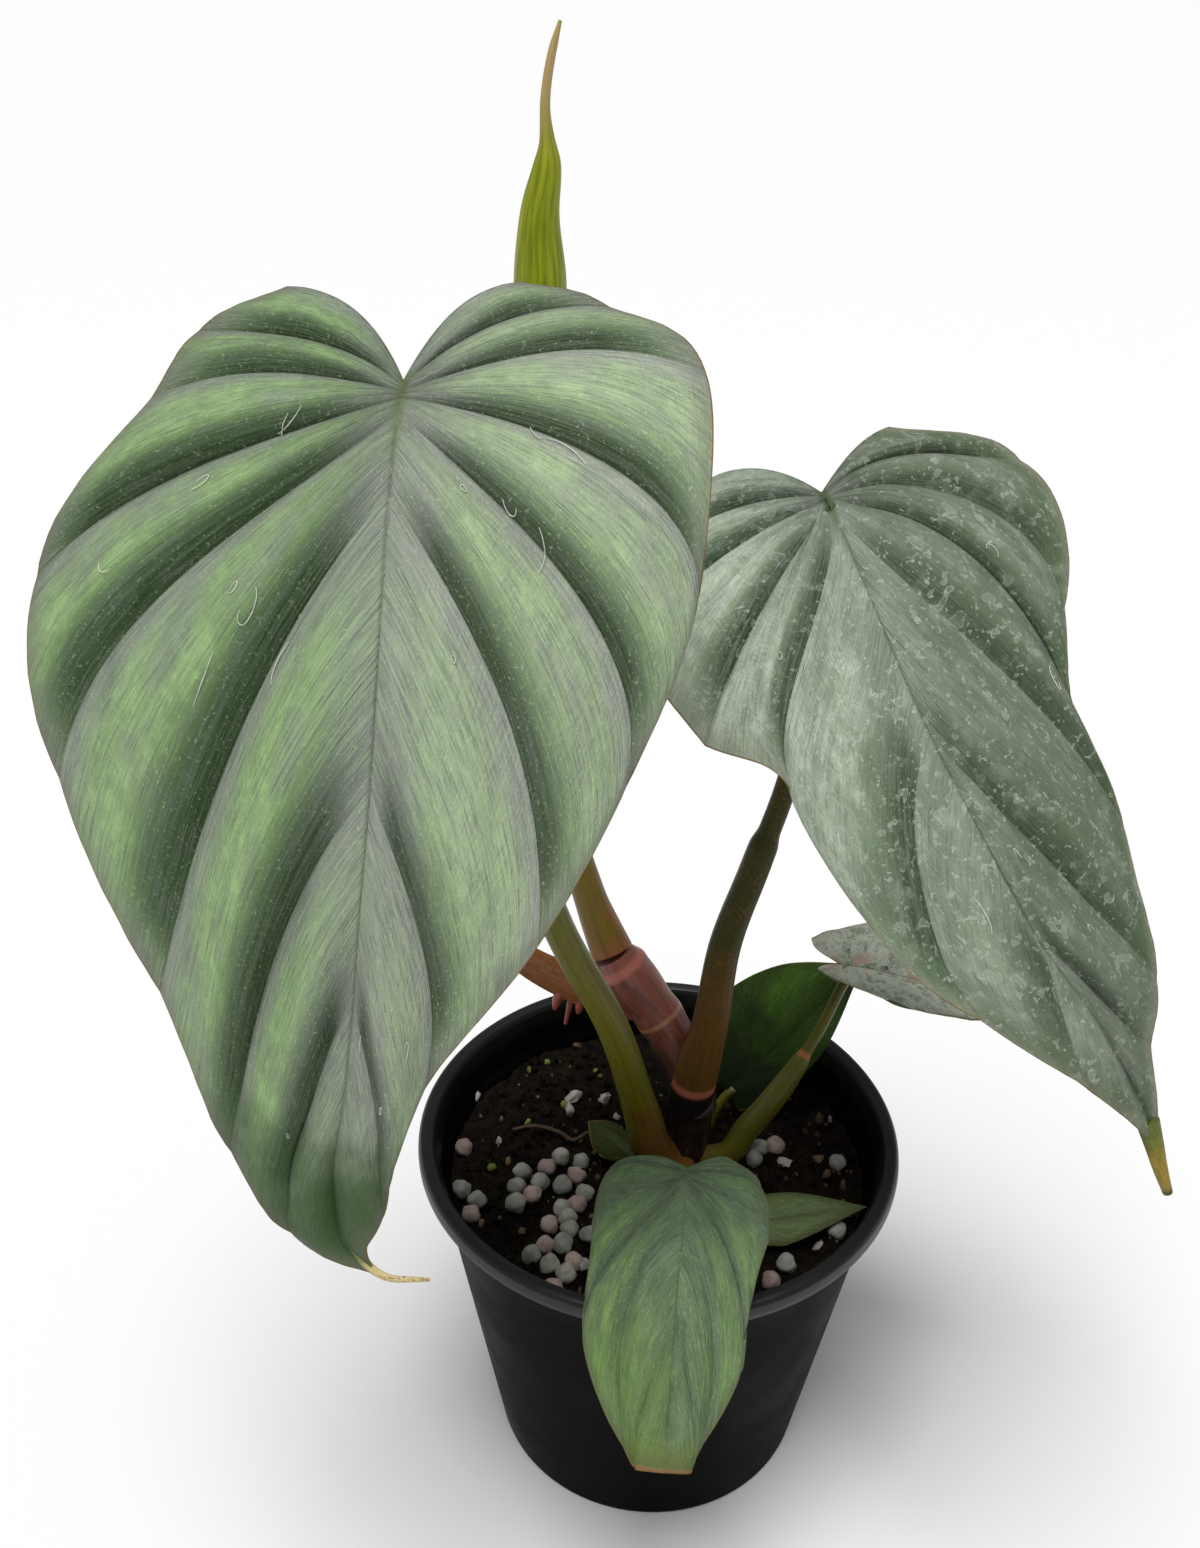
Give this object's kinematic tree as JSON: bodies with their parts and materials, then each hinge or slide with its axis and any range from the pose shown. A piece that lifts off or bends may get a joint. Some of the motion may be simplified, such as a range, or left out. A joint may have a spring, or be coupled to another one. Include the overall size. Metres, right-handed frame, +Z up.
{
  "type": "potted philodendron",
  "caption": "Young philodendron with heart-shaped quilted silvery green leaves and a rolled new leaf, rooted in soil in a black tapered nursery pot",
  "frame": {"origin": "centre of the pot's flat base", "axes": "+Z up; the plant's front, where the largest leaves hang, faces -Y; +X is to the right seen from the front"},
  "size_m": [0.1899, 0.1357, 0.3056],
  "materials": {
    "pot": "satin black moulded plastic",
    "soil": "damp dark peat with pale feed pellets",
    "stem": "smooth purple-brown stem",
    "stalk": "smooth olive stalk with rust flecks",
    "leaf_left": "satin quilted leaf, grey-green",
    "leaf_right": "satin quilted leaf, silvery green with pale water marks",
    "leaf_front": "satin ribbed leaf with a cut brown tip",
    "leaf_scarred": "dull grey-green leaf with pale scars",
    "leaf_back": "smooth dark green leaf",
    "leaf_low": "satin green leaf",
    "leaf_sprout": "satin green leaf",
    "new_leaf": "smooth yellow-green rolled leaf with a tan tip",
    "sheath": "papery orange-brown sheath",
    "dry_root": "dry brown root"
  },
  "bodies": {
    "root": {"pot": "pot", "soil": "soil", "stem": "stem", "stalk_left": "stalk", "stalk_right": "stalk", "stalk_front": "stalk", "stalk_scarred": "stalk", "stalk_new": "stalk", "leaf_left": "leaf_left", "leaf_right": "leaf_right", "leaf_front": "leaf_front", "leaf_scarred": "leaf_scarred", "leaf_back": "leaf_back", "leaf_low": "leaf_low", "leaf_sprout": "leaf_sprout", "new_leaf": "new_leaf", "old_sheath": "sheath", "dry_root": "dry_root"}
  },
  "joints": []
}
